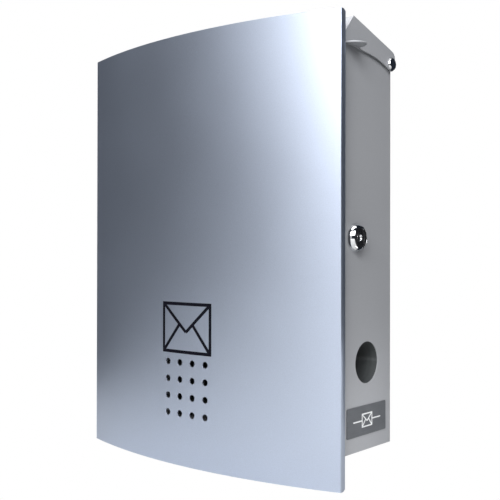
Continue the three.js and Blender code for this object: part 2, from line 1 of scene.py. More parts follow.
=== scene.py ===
"""Looks for the wall mounted mailbox: folded sheets, turned metal parts, materials, light and camera.

Metres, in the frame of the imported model: X to the viewer's right, Y into the wall and Z up, with the
origin on the wall at the upper rail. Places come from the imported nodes' boxes. The sizes that a box
doesn't hold, such as a sheet's thickness or a bend's radius, are the named values below.
"""

import json
import math

import bmesh
import bpy
from mathutils import Matrix, Vector


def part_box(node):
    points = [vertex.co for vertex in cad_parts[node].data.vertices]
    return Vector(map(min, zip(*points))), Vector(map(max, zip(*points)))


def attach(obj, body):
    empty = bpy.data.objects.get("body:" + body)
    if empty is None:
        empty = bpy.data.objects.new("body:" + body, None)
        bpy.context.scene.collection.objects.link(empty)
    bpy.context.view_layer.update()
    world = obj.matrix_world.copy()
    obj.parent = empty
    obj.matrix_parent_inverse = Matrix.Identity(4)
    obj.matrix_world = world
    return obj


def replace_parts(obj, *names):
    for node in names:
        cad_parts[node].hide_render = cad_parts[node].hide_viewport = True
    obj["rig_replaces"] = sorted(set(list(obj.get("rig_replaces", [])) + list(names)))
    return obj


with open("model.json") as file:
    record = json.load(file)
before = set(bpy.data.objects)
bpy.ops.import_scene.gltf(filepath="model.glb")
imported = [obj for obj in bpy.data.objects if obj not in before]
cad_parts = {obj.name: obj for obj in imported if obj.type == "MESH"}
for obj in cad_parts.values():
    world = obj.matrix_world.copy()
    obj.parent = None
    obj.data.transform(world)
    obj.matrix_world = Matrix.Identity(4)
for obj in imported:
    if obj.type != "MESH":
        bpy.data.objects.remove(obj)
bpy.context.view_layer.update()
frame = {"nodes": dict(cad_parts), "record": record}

# CLEARANCE is the gap between parts, and OVERCUT is how far a cutter reaches past what it cuts.
MM = 0.001
CLEARANCE = 0.3 * MM
OVERCUT = 1 * MM
SAME_PLACE = 1e-7
AXIS_ORDER = {"x": (2, 0, 1), "y": (0, 2, 1), "z": (0, 1, 2)}


def middle(node):
    """The centre of a node's box."""
    low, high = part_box(node)
    return (low + high) / 2


def radius_of(node):
    """The radius of a round node that lies along X."""
    low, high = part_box(node)
    return (high.z - low.z) / 2


# ---------------------------------------------------------------- places from the frame

PANEL_LOW, PANEL_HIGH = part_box("front_panel")
SHELL_LOW, SHELL_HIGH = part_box("body_shell")
STRIP_LOW, STRIP_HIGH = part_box("top_rail")
PAN_LOW, PAN_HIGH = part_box("door_pan")
LID_LOW, LID_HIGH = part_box("lid_cover")
TUBE_LOW, TUBE_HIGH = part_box("newspaper_tube")
LOCK_LOW, LOCK_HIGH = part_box("lock_housing")
FACE_LOW, FACE_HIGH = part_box("lock_face")
PLUG_LOW, PLUG_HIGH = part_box("lock_plug")
CAP_LOW, CAP_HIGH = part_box("hinge_cap_right")
ROD_END_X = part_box("lid_hinge_rod")[1].x
LABEL_LOW, LABEL_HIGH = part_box("label_plate")
MARK_LOW, MARK_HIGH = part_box("label_mark")
PICTURE_LOW, PICTURE_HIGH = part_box("front_picture")
LOCK_AXIS = (middle("lock_plug").y, middle("lock_plug").z)
TUBE_AXIS = (middle("newspaper_tube").y, middle("newspaper_tube").z)
LID_AXIS = (middle("lid_hinge_rod").y, middle("lid_hinge_rod").z)
PINS = {name: middle(f"door_pin_{name}") for name in ("upper", "lower")}
RAILS = {name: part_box(f"wall_rail_{name}") for name in ("upper", "lower")}

# ---------------------------------------------------------------- sizes

# Folded sheet: thickness, outer bend radius, and the most of a side that a bend may take up.
SHEET = 1 * MM
BEND = 1.6 * MM
SMALLEST_BEND = 0.15 * MM
BEND_SHARE = 0.48

# The area from which a face counts as a wide flat one, and the steps round a small hole.
WIDE_FACE = 900 * MM**2
HOLE_STEPS = 40

# Widths of the rounding on sharp edges.
SHEET_EDGE = 0.22 * MM
LID_EDGE = 0.35 * MM
TUBE_EDGE = 0.3 * MM
SMALL_EDGE = 0.15 * MM
CAP_EDGE = 0.1 * MM
BEZEL_EDGE = 0.08 * MM
LOCK_EDGE = 0.06 * MM
RING_EDGE = 0.12 * MM
PRINT_EDGE = 0.03 * MM

# Front panel: the bow's rise over its chord, the fold at each side with its slanted ends, and the
# notches that clear the hinge pins.
BOW_RISE = 26.25 * MM
BOW_STEPS = 120
PANEL_SHEET = 1.2 * MM
PANEL_RETURN = 7.1 * MM
PANEL_BEND = 0.7 * MM
PANEL_X = PANEL_HIGH.x
PANEL_RADIUS = (PANEL_X**2 + BOW_RISE**2) / (2 * BOW_RISE)
PANEL_EDGE_Y = PANEL_HIGH.y - PANEL_RETURN
BOW_CENTRE_Y = PANEL_EDGE_Y - BOW_RISE + PANEL_RADIUS
SLANT_START = 2.5 * MM
SLANT_DROP = 2.7 * MM
NOTCH_GAP = 0.8 * MM
NOTCH_START = 1.6 * MM
NOTCH_WIDTH = 2.5 * MM

# Vent holes, in a square of rows and columns below the picture.
VENT_COUNT = 4
VENT_RADIUS = 3.5 * MM
VENT_PITCH = 17.8 * MM
VENT_TOP_Z = PICTURE_LOW.z - 9.4 * MM
DRILL_HALF = 5 * PANEL_SHEET

# Printed envelope: its flap and folds as shares of its size, and the skin of ink on the bow, which
# is drawn some way wider than the picture.
FLAP_DEPTH = 0.58
FOLD_LAP = 0.14
PICTURE_LINE = 3.4 * MM
PAINT_GAP = 0.03 * MM
INK = 0.12 * MM
SKIN_REACH = 1.2

# Box: its top edge slopes down to the back. Hole sizes are radii.
TOP_STEP = 0.8 * MM
TOP_SLOPE = 3.8 * MM
BODY_X = SHELL_HIGH.x
BODY_BACK_Y = SHELL_HIGH.y
BODY_FRONT_Y = STRIP_LOW.y - SHEET - CLEARANCE
BODY_TOP_FRONT_Z = STRIP_HIGH.z + TOP_STEP
BODY_TOP_BACK_Z = BODY_TOP_FRONT_Z - TOP_SLOPE
BODY_BOTTOM_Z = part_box("bottom_panel")[0].z
FRONT_RETURN = 12 * MM
LOCK_HOLE = 9.3 * MM
ROD_HOLE = 2.8 * MM
PIN_HOLE = 1.95 * MM
RIVET_HOLE = 2.3 * MM
RIVET_STEPS = 32
SCREW_X = 110 * MM
SCREW_ACCESS = 4.5 * MM
EAR_RIGHT_X = -150 * MM
EAR_ROOT = 12 * MM
TUBE_RADIUS = radius_of("newspaper_tube")
TUBE_WALL = 1.2 * MM
TUBE_BORE = TUBE_RADIUS - TUBE_WALL

# Lid, its finger tabs and the caps on its hinge rod.
CHEEK_X = CAP_LOW.x - CLEARANCE
CHEEK_BEND = 3.6 * MM
CHEEK_CORNER = 7.2 * MM
CHEEK_GAP = 0.5 * MM
LID_BEND = 1.2 * MM
LID_BACK_BEND = 7.5 * MM
TAB_HALF = 13 * MM
TAB_STEPS = 40
TAB_BEAD = 0.85 * MM
TAB_SHEET = 0.8 * MM
CAP_RADIUS = radius_of("hinge_cap_right")
CAP_RIM = 0.5 * MM
CAP_BAND = 1.2 * MM
DOME_SHARE = 0.93

# Lock: bezel, recess, threaded barrel, ridged face, and the plug with its dish and ring. The keyway
# has a half width and a half height.
LOCK_STEPS = 128
PLUG_RADIUS = radius_of("lock_plug")
PLUG_BORE = PLUG_RADIUS + CLEARANCE
BEZEL_RADIUS = radius_of("lock_housing")
BEZEL_CHAMFER = 0.2 * MM
BEZEL_BAND = 0.7 * MM
LIP_RADIUS = 10.7 * MM
LIP_WIDTH = 0.4 * MM
LIP_ROUND = 0.15 * MM
RECESS_DEPTH = 2 * MM
BARREL_RADIUS = 9 * MM
THREAD_PITCH = 1 * MM
THREAD_DEPTH = 0.45 * MM
RIDGE_HALF = 0.8 * MM
RIDGE_RISE = 0.7 * MM
DISH_RADIUS = 2.9 * MM
DISH_DEPTH = 2.2 * MM
KEYWAY_HALF = (0.7 * MM, 2.4 * MM)
KEYWAY_DEPTH = 6 * MM
RING_DEPTH = 0.4 * MM
RING_INNER = DISH_RADIUS + 0.1 * MM
RING_OUTER = PLUG_RADIUS - 0.15 * MM

# Label and the envelope on it.
LABEL_CORNER = 1.4 * MM
MARK_HALF = 9.5 * MM
MARK_LINE = 1.3 * MM
MARK_THICKNESS = 0.1 * MM

# Camera, its lens and sensor in millimetres, and the floor under the box: two corners in (x, y), its
# gap below the panel and its thickness.
CAMERA_PLACE = Vector((0.6043, -0.7529, -0.1530))
CAMERA_YAW = math.radians(40.1)
CAMERA_PITCH = math.radians(0.205)
CAMERA_ROLL = math.radians(0.108)
CAMERA_LENS = 59.61
SENSOR_WIDTH = 36
BOX_CENTRE = Vector((0, -0.1, -0.15))
STAGE_LOW = (-0.6, -1.5)
STAGE_HIGH = (1.3, 0.05)
STAGE_GAP = 10 * MM
STAGE_THICKNESS = 20 * MM

# ---------------------------------------------------------------- materials


class Recipe:
    """A Principled material, with short calls for its procedural detail."""

    def __init__(self, name, base, metallic, roughness, **sockets):
        self.base = base
        self.material = bpy.data.materials.new(name)
        self.material.use_nodes = True
        self.tree = self.material.node_tree
        self.shader = self.tree.nodes["Principled BSDF"]
        self.shader.inputs["Base Color"].default_value = (*base, 1)
        self.shader.inputs["Metallic"].default_value = metallic
        self.shader.inputs["Roughness"].default_value = roughness
        for socket, value in sockets.items():
            self.shader.inputs[socket.replace("_", " ")].default_value = value
        self.place = self.tree.nodes.new("ShaderNodeTexCoord").outputs["Object"]
        self.normal = None

    def noise(self, scale, detail=2.0, stretch=(1, 1, 1)):
        """Noise with features about 1 / scale metres across, drawn out where stretch is below 1."""
        mapping = self.tree.nodes.new("ShaderNodeMapping")
        mapping.inputs["Scale"].default_value = stretch
        self.tree.links.new(self.place, mapping.inputs["Vector"])
        made = self.tree.nodes.new("ShaderNodeTexNoise")
        made.inputs["Scale"].default_value = scale
        made.inputs["Detail"].default_value = detail
        self.tree.links.new(mapping.outputs[0], made.inputs["Vector"])
        return made.outputs["Fac"]

    def cells(self, scale):
        """Crystal-like cells, each with a value of its own."""
        made = self.tree.nodes.new("ShaderNodeTexVoronoi")
        made.inputs["Scale"].default_value = scale
        self.tree.links.new(self.place, made.inputs["Vector"])
        split = self.tree.nodes.new("ShaderNodeSeparateColor")
        self.tree.links.new(made.outputs["Color"], split.inputs["Color"])
        return split.outputs["Red"]

    def blend(self, first, second, share):
        """Two patterns in one, with share of the second."""
        mix = self.tree.nodes.new("ShaderNodeMix")
        mix.inputs["Factor"].default_value = share
        self.tree.links.new(first, mix.inputs["A"])
        self.tree.links.new(second, mix.inputs["B"])
        return mix.outputs["Result"]

    def tint(self, pattern, dark, light, clip=(0.3, 0.7)):
        """The base colour runs from dark times base to light times base over the pattern."""
        ramp = self.tree.nodes.new("ShaderNodeValToRGB")
        for stop, place, factor in zip(ramp.color_ramp.elements, clip, (dark, light)):
            stop.position = place
            stop.color = (*(min(1, channel * factor) for channel in self.base), 1)
        self.tree.links.new(pattern, ramp.inputs["Fac"])
        self.tree.links.new(ramp.outputs["Color"], self.shader.inputs["Base Color"])

    def gloss(self, pattern, low, high, clip=(0.3, 0.7)):
        """The roughness runs from low to high over the pattern."""
        spread = self.tree.nodes.new("ShaderNodeMapRange")
        for socket, value in zip(("From Min", "From Max", "To Min", "To Max"), (*clip, low, high)):
            spread.inputs[socket].default_value = value
        self.tree.links.new(pattern, spread.inputs["Value"])
        self.tree.links.new(spread.outputs["Result"], self.shader.inputs["Roughness"])

    def bump(self, pattern, strength, depth):
        """Relief of some depth in metres, on top of any relief before it."""
        made = self.tree.nodes.new("ShaderNodeBump")
        made.inputs["Strength"].default_value = strength
        made.inputs["Distance"].default_value = depth
        self.tree.links.new(pattern, made.inputs["Height"])
        if self.normal:
            self.tree.links.new(self.normal, made.inputs["Normal"])
        self.normal = made.outputs["Normal"]
        self.tree.links.new(self.normal, self.shader.inputs["Normal"])


def silver_coat():
    """Metallic silver coat: fine flakes, faint clouds and a slight ripple."""
    made = Recipe("silver_coat", (0.580, 0.645, 0.775), 0.94, 0.42)
    flakes = made.noise(1400, 3)
    clouds = made.noise(7, 2)
    made.tint(made.blend(flakes, clouds, 0.3), 0.93, 1.06)
    made.gloss(made.blend(flakes, clouds, 0.4), 0.39, 0.45)
    made.bump(flakes, 0.10, 0.00003)
    made.bump(made.noise(26, 1), 0.04, 0.0003)
    return made.material


def grey_coat():
    """Satin grey powder coat with its fine grain."""
    made = Recipe("grey_coat", (0.408, 0.417, 0.440), 0.0, 0.42)
    grain = made.noise(1100, 3)
    clouds = made.noise(6, 2)
    made.tint(made.blend(grain, clouds, 0.4), 0.93, 1.06)
    made.gloss(made.blend(grain, clouds, 0.4), 0.36, 0.48)
    made.bump(grain, 0.14, 0.00004)
    made.bump(made.noise(150, 2), 0.05, 0.0002)
    return made.material


def zinc_plate():
    """Zinc plate: spangle with faint rolling streaks."""
    made = Recipe("zinc_plate", (0.55, 0.56, 0.57), 1.0, 0.36)
    spangle = made.cells(130)
    streaks = made.noise(900, 4, stretch=(0.06, 1, 1))
    made.tint(made.blend(streaks, spangle, 0.4), 0.80, 1.12)
    made.gloss(spangle, 0.28, 0.46, clip=(0.1, 0.9))
    made.bump(streaks, 0.08, 0.00006)
    return made.material


def chrome_plate():
    """Polished chrome with a few smudges."""
    made = Recipe("chrome_plate", (0.80, 0.81, 0.83), 1.0, 0.07)
    smudge = made.noise(160, 3)
    made.tint(smudge, 0.96, 1.04)
    made.gloss(smudge, 0.04, 0.11)
    made.bump(made.noise(400, 2), 0.03, 0.00005)
    return made.material


def black_ink():
    """Flat black print."""
    made = Recipe("black_ink", (0.005, 0.005, 0.009), 0.0, 0.55, Specular_IOR_Level=0.05)
    grain = made.noise(900, 2)
    made.tint(grain, 0.7, 1.6)
    made.gloss(grain, 0.48, 0.62)
    made.bump(grain, 0.05, 0.00003)
    return made.material


def black_enamel():
    """Satin black enamel in the lock."""
    made = Recipe("black_enamel", (0.012, 0.012, 0.014), 0.0, 0.31)
    grain = made.noise(700, 2)
    made.tint(grain, 0.7, 1.6)
    made.gloss(grain, 0.26, 0.36)
    made.bump(grain, 0.04, 0.00003)
    return made.material


def pipe_wall():
    """Smooth dark plastic with faint rings round the tube."""
    made = Recipe("pipe_wall", (0.068, 0.074, 0.077), 0.0, 0.60, Specular_IOR_Level=0.25)
    grain = made.noise(500, 2)
    rings = made.noise(300, 3, stretch=(1, 0.05, 0.05))
    made.tint(made.blend(rings, made.noise(30, 2), 0.5), 0.8, 1.2)
    made.gloss(grain, 0.54, 0.68)
    made.bump(rings, 0.10, 0.0001)
    return made.material


def bumper_rubber():
    """Matte black rubber."""
    made = Recipe("bumper_rubber", (0.020, 0.020, 0.021), 0.0, 0.8)
    grain = made.noise(700, 3)
    made.tint(grain, 0.7, 1.5)
    made.gloss(grain, 0.7, 0.9)
    made.bump(grain, 0.2, 0.0001)
    return made.material


def plain_nylon():
    """Natural nylon, a little translucent."""
    made = Recipe("plain_nylon", (0.70, 0.69, 0.64), 0.0, 0.5, Subsurface_Weight=0.1)
    grain = made.noise(300, 2)
    made.tint(grain, 0.95, 1.03)
    made.gloss(grain, 0.42, 0.58)
    made.bump(grain, 0.06, 0.00005)
    return made.material


def label_face():
    """Dark brushed plate."""
    made = Recipe("label_face", (0.145, 0.153, 0.166), 0.1, 0.42)
    brushing = made.noise(700, 3, stretch=(1, 0.07, 1))
    made.tint(made.blend(brushing, made.noise(60, 2), 0.4), 0.86, 1.14)
    made.gloss(brushing, 0.34, 0.50)
    made.bump(brushing, 0.05, 0.00004)
    return made.material


def white_print():
    """White print on the label."""
    made = Recipe("white_print", (0.86, 0.87, 0.88), 0.0, 0.5)
    grain = made.noise(1300, 2)
    made.tint(grain, 0.92, 1.04)
    made.gloss(grain, 0.42, 0.6)
    made.bump(grain, 0.06, 0.00003)
    return made.material


FINISHES = {
    "silver": silver_coat(),
    "grey": grey_coat(),
    "zinc": zinc_plate(),
    "chrome": chrome_plate(),
    "black": black_enamel(),
    "print": black_ink(),
    "pipe": pipe_wall(),
    "rubber": bumper_rubber(),
    "nylon": plain_nylon(),
    "tag": label_face(),
    "white": white_print(),
}
NODE_SLOTS = {part["node"]: part["material_slot"] for part in frame["record"]["subparts"]}
NODE_BODIES = {
    node: body for body, nodes in frame["record"]["behaviour"]["bodies"].items() for node in nodes
}

# ---------------------------------------------------------------- outlines


def arc(centre, radius, start, stop, steps):
    """Points on a round corner, between two directions in degrees."""
    angles = [math.radians(start + (stop - start) * i / steps) for i in range(steps + 1)]
    return [(centre[0] + radius * math.cos(a), centre[1] + radius * math.sin(a)) for a in angles]


def circle(centre, radius, steps):
    """Points all the way round, each once."""
    return arc(centre, radius, 0, 360 - 360 / steps, steps - 1)


def rectangle(low, high, radius=0.0, steps=6):
    """A rectangle between two corners, with round corners if it has a radius."""
    if not radius:
        return [low, (high[0], low[1]), high, (low[0], high[1])]
    left, bottom, right, top = low[0] + radius, low[1] + radius, high[0] - radius, high[1] - radius
    return [
        *arc((right, bottom), radius, -90, 0, steps),
        *arc((right, top), radius, 0, 90, steps),
        *arc((left, top), radius, 90, 180, steps),
        *arc((left, bottom), radius, 180, 270, steps),
    ]


def round_corners(path, radius, steps=10, smallest_bend=12.0):
    """An open path with an arc in place of each corner that bends more than a few degrees."""
    points = [Vector(p) for p in path]
    rounded = [points[0]]
    for before, corner, after in zip(points, points[1:], points[2:]):
        back = (before - corner).normalized()
        on = (after - corner).normalized()
        bend = math.pi - back.angle(on)
        if bend < math.radians(smallest_bend):
            rounded.append(corner)
            continue
        room = BEND_SHARE * min((before - corner).length, (after - corner).length)
        trim = min(radius * math.tan(bend / 2), room)
        reach = trim / math.tan(bend / 2) / math.cos(bend / 2)
        centre = corner + (back + on).normalized() * reach
        first = corner + back * trim - centre
        turn = first.angle_signed(corner + on * trim - centre)
        for i in range(steps + 1):
            rounded.append(centre + Matrix.Rotation(-turn * i / steps, 2) @ first)
    return [tuple(p) for p in (*rounded, points[-1])]


def moved_right(path, distance):
    """An open path moved to its right, with mitred corners."""
    points = [Vector(p) for p in path]
    ways = [(end - start).normalized() for start, end in zip(points, points[1:])]
    normals = [Vector((way.y, -way.x)) for way in ways]
    moved = []
    for i, corner in enumerate(points):
        before = normals[max(i - 1, 0)]
        after = normals[min(i, len(normals) - 1)]
        mitre = (before + after).normalized()
        moved.append(tuple(corner + mitre * (distance / mitre.dot(before))))
    return moved


def sheet_outline(path, thickness, outer_bend):
    """The section of a folded sheet whose outer face is on the path, with bends of some outer radius."""
    inner_bend = max(outer_bend - thickness, SMALLEST_BEND)
    outer = round_corners(path, outer_bend)
    inner = round_corners(moved_right(path, thickness), inner_bend)
    return outer + inner[::-1]


def stroke(start, end, width):
    """A straight stroke between two points."""
    start, end = Vector(start), Vector(end)
    along = (end - start).normalized() * width / 2
    side = Vector((-along.y, along.x))
    return [tuple(p) for p in (start + side, start - side, end - side, end + side)]


def bow(inwards, half_width):
    """The front panel's face seen from above, moved inwards, from its left to its right."""
    radius = PANEL_RADIUS - inwards
    half = math.degrees(math.asin(half_width / radius))
    return arc((0, BOW_CENTRE_Y), radius, 270 - half, 270 + half, BOW_STEPS)


# ---------------------------------------------------------------- meshes


def from_bmesh(name, made):
    """An object from a bmesh, with its faces turned outwards."""
    bmesh.ops.recalc_face_normals(made, faces=made.faces)
    mesh = bpy.data.meshes.new(name)
    made.to_mesh(mesh)
    made.free()
    piece = bpy.data.objects.new(name, mesh)
    bpy.context.scene.collection.objects.link(piece)
    return piece


def prism(outline, axis, low, high, name="cutter"):
    """A flat outline made into a solid between two places on an axis.

    The outline is in (y, z) along X, in (x, z) along Y and in (x, y) along Z.
    """
    made = bmesh.new()
    ends = []
    for place in (low, high):
        spots = [(*point, place) for point in outline]
        ends.append([made.verts.new(tuple(spot[i] for i in AXIS_ORDER[axis])) for spot in spots])
    for i in range(len(outline)):
        j = (i + 1) % len(outline)
        made.faces.new((ends[0][i], ends[0][j], ends[1][j], ends[1][i]))
    made.faces.new(ends[0])
    made.faces.new(reversed(ends[1]))
    return from_bmesh(name, made)


def bar(axis, centre, radius, low, high, steps=64):
    """A round bar along an axis."""
    return prism(circle(centre, radius, steps), axis, low, high)


def block(low, high):
    """A box between two corners."""
    return prism(rectangle(tuple(low)[:2], tuple(high)[:2]), "z", low[2], high[2])


def turned(profile, axis, name="cutter", steps=96):
    """A profile of (radius, x) points turned about a line along X. It closes on the line or on itself."""
    made = bmesh.new()
    rings = []
    for radius, x in profile:
        spots = circle(axis, radius, steps) if radius > SAME_PLACE else [axis]
        rings.append([made.verts.new((x, *spot)) for spot in spots])
    pairs = list(zip(rings, rings[1:]))
    if len(rings[0]) > 1 and len(rings[-1]) > 1:
        pairs.append((rings[-1], rings[0]))
    for first, second in pairs:
        for i in range(steps):
            here = [ring[i % len(ring)] for ring in (first, second)]
            there = [ring[(i + 1) % len(ring)] for ring in (first, second)]
            corners = list(dict.fromkeys((here[0], there[0], there[1], here[1])))
            if len(corners) > 2:
                made.faces.new(corners)
    return from_bmesh(name, made)


def swept(path, z, radius, steps=16):
    """A round bar along a level path of (x, y) points."""
    made = bmesh.new()
    points = [Vector(p) for p in path]
    section = circle((0, 0), radius, steps)
    rings = []
    for i, spot in enumerate(points):
        way = (points[min(i + 1, len(points) - 1)] - points[max(i - 1, 0)]).normalized()
        rings.append([made.verts.new((spot.x + way.y * u, spot.y - way.x * u, z + v)) for u, v in section])
    for first, second in zip(rings, rings[1:]):
        for i in range(steps):
            j = (i + 1) % steps
            made.faces.new((first[i], first[j], second[j], second[i]))
    made.faces.new(rings[0])
    made.faces.new(reversed(rings[-1]))
    return from_bmesh("cutter", made)


def apply_modifiers(piece):
    """Makes a piece's modifiers part of its mesh."""
    evaluated = piece.evaluated_get(bpy.context.evaluated_depsgraph_get())
    mesh = bpy.data.meshes.new_from_object(evaluated)
    piece.modifiers.clear()
    old = piece.data
    piece.data = mesh
    bpy.data.meshes.remove(old)


def combine(piece, others, operation):
    """Joins other solids to a piece, cuts them from it, or keeps what they share, and deletes them."""
    for other in others:
        modifier = piece.modifiers.new("combine", "BOOLEAN")
        modifier.operation = operation
        modifier.solver = "EXACT"
        modifier.object = other
        apply_modifiers(piece)
        bpy.data.objects.remove(other)
    return piece


def cut(piece, cutters):
    """Cuts solids from a piece."""
    return combine(piece, cutters, "DIFFERENCE")


def join(piece, others):
    """Joins solids to a piece."""
    return combine(piece, others, "UNION")


def union(outlines, axis, depth):
    """Flat outlines made into one solid between two places on an axis."""
    first, *others = [prism(outline, axis, *depth) for outline in outlines]
    return join(first, others)


def soften(piece, width=SHEET_EDGE, steps=2, angle=32.0, same_plane=0.3):
    """Merges faces that lie in one plane, rounds the sharp edges and shades the piece smooth."""
    made = bmesh.new()
    made.from_mesh(piece.data)
    bmesh.ops.remove_doubles(made, verts=made.verts, dist=SAME_PLACE)
    bmesh.ops.dissolve_limit(
        made, angle_limit=math.radians(same_plane), verts=made.verts, edges=made.edges
    )
    made.to_mesh(piece.data)
    made.free()
    piece.data.shade_smooth()
    modifier = piece.modifiers.new("soften", "BEVEL")
    modifier.width = width
    modifier.segments = steps
    modifier.limit_method = "ANGLE"
    modifier.angle_limit = math.radians(angle)
    modifier.harden_normals = True
    apply_modifiers(piece)
    piece.data.set_sharp_from_angle(angle=math.radians(angle))
    return piece


def level(piece, in_line=1.5):
    """Gives the faces in line with a wide flat one its exact normal, so that flat sheet shades flat."""
    mesh = piece.data
    nearly_one = math.cos(math.radians(in_line))
    wide = [Vector(face.normal) for face in mesh.polygons if face.area > WIDE_FACE]
    normals = [Vector(corner.vector) for corner in mesh.corner_normals]
    for face in mesh.polygons:
        flat = next((way for way in wide if face.normal.dot(way) > nearly_one), None)
        for loop in face.loop_indices if flat else ():
            normals[loop] = flat
    mesh.normals_split_custom_set(normals)
    return piece


def follow_bow(piece, in_line=3.0):
    """Gives the bowed faces of a piece the true normals of the bow, so that they shade as one curve."""
    mesh = piece.data
    nearly_one = math.cos(math.radians(in_line))
    normals = [Vector(corner.vector) for corner in mesh.corner_normals]
    for face in mesh.polygons:
        for loop in face.loop_indices:
            spot = mesh.vertices[mesh.loops[loop].vertex_index].co
            outwards = Vector((spot.x, spot.y - BOW_CENTRE_Y, 0)).normalized()
            match = face.normal.dot(outwards)
            if abs(match) > nearly_one:
                normals[loop] = outwards * math.copysign(1, match)
    mesh.normals_split_custom_set(normals)
    return piece


def finish(piece, node, name=None, slot=None, coat=None):
    """Gives a piece a CAD node's body, and that node's finish or another, and lets it stand for it."""
    slot = slot or NODE_SLOTS[node]
    piece.name = name or f"{node}_finished"
    piece.data.name = piece.name
    piece.data.materials.clear()
    piece.data.materials.append(FINISHES[coat or slot])
    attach(piece, NODE_BODIES[node])
    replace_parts(piece, node)
    return piece


# ---------------------------------------------------------------- front panel


def vent_drills():
    """A drill for each vent hole, square to the bowed sheet."""
    drills = []
    for column in range(VENT_COUNT):
        turn = (column - (VENT_COUNT - 1) / 2) * VENT_PITCH / PANEL_RADIUS
        for row in range(VENT_COUNT):
            drill = bar("y", (0, 0), VENT_RADIUS, -DRILL_HALF, DRILL_HALF, HOLE_STEPS)
            hub = Matrix.Translation((0, BOW_CENTRE_Y, VENT_TOP_Z - row * VENT_PITCH))
            spin = Matrix.Rotation(turn, 4, "Z")
            drill.data.transform(hub @ spin @ Matrix.Translation((0, -PANEL_RADIUS, 0)))
            drills.append(drill)
    return drills


def front_panel():
    """The bowed sheet with folded edges, slanted return ends and notches at the hinge side."""
    back_y = PANEL_HIGH.y + OVERCUT
    path = [(PANEL_X, PANEL_HIGH.y), *bow(0, PANEL_X)[::-1], (-PANEL_X, PANEL_HIGH.y)]
    section = sheet_outline(path, PANEL_SHEET, PANEL_BEND)
    piece = prism(section, "z", PANEL_LOW.z, PANEL_HIGH.z)
    cutters = vent_drills()
    for end_z, way in ((PANEL_HIGH.z, 1), (PANEL_LOW.z, -1)):
        slant = [
            (PANEL_EDGE_Y + SLANT_START, end_z + way * OVERCUT),
            (back_y, end_z + way * OVERCUT),
            (back_y, end_z - way * SLANT_DROP),
        ]
        cutters.append(prism(slant, "x", -PANEL_X - OVERCUT, PANEL_X + OVERCUT))
    notch_y = PANEL_EDGE_Y + NOTCH_START
    notch_x = -PANEL_X + NOTCH_WIDTH
    for low_z, high_z in (
        (PAN_HIGH.z + NOTCH_GAP, PANEL_HIGH.z + OVERCUT),
        (PANEL_LOW.z - OVERCUT, PAN_LOW.z - NOTCH_GAP),
    ):
        cutters.append(block((-PANEL_X - OVERCUT, notch_y, low_z), (notch_x, back_y, high_z)))
    return finish(follow_bow(soften(cut(piece, cutters))), "front_panel")


def envelope(low, high, width):
    """The outlines of a line drawing of an envelope: its four sides, its flap and its two folds."""
    (left, bottom), (right, top) = low, high
    inset = width / 2
    centre = (left + right) / 2
    tip_z = top - (top - bottom) * FLAP_DEPTH
    lap_x = (right - left) * FOLD_LAP
    lap_z = (top - bottom) * FOLD_LAP
    sides = [
        rectangle((left, bottom), (right, bottom + width)),
        rectangle((left, top - width), (right, top)),
        rectangle((left, bottom + inset), (left + width, top - inset)),
        rectangle((right - width, bottom + inset), (right, top - inset)),
    ]
    return [
        *sides,
        stroke((left + inset, top - inset), (centre, tip_z), width),
        stroke((right - inset, top - inset), (centre, tip_z), width),
        stroke((left + inset, bottom + inset), (centre - lap_x, tip_z + lap_z), width),
        stroke((right - inset, bottom + inset), (centre + lap_x, tip_z + lap_z), width),
    ]


def front_picture():
    """The envelope printed on the front panel, a thin skin that follows the bow."""
    low, high = (PICTURE_LOW.x, PICTURE_LOW.z), (PICTURE_HIGH.x, PICTURE_HIGH.z)
    piece = union(envelope(low, high, PICTURE_LINE), "y", (PANEL_LOW.y - 2 * OVERCUT, PANEL_EDGE_Y))
    reach = PICTURE_HIGH.x * SKIN_REACH
    skin = [*bow(-PAINT_GAP - INK, reach), *bow(-PAINT_GAP, reach)[::-1]]
    combine(piece, [prism(skin, "z", low[1] - OVERCUT, high[1] + OVERCUT)], "INTERSECT")
    return finish(follow_bow(soften(piece, PRINT_EDGE, 1)), "front_picture", coat="print")


# ---------------------------------------------------------------- box


def door_ear(low_z, high_z, root_z):
    """A tongue on the left front return, folded forward into an ear for a door pin."""
    pin = PINS["upper"]
    radius = pin.y - SHELL_LOW.y
    shape = [
        (EAR_RIGHT_X, BODY_FRONT_Y + SHEET),
        (pin.x, BODY_FRONT_Y + SHEET),
        *arc((pin.x, pin.y), radius, 90, 270, 24),
        (EAR_RIGHT_X, pin.y - radius),
    ]
    tongue = block(
        (-BODY_X + BEND, BODY_FRONT_Y, min(root_z, low_z)),
        (EAR_RIGHT_X, BODY_FRONT_Y + SHEET, max(root_z, high_z)),
    )
    hole = bar("z", (pin.x, pin.y), PIN_HOLE, low_z - OVERCUT, high_z + OVERCUT, HOLE_STEPS)
    return cut(join(prism(shape, "z", low_z, high_z), [tongue]), [hole])


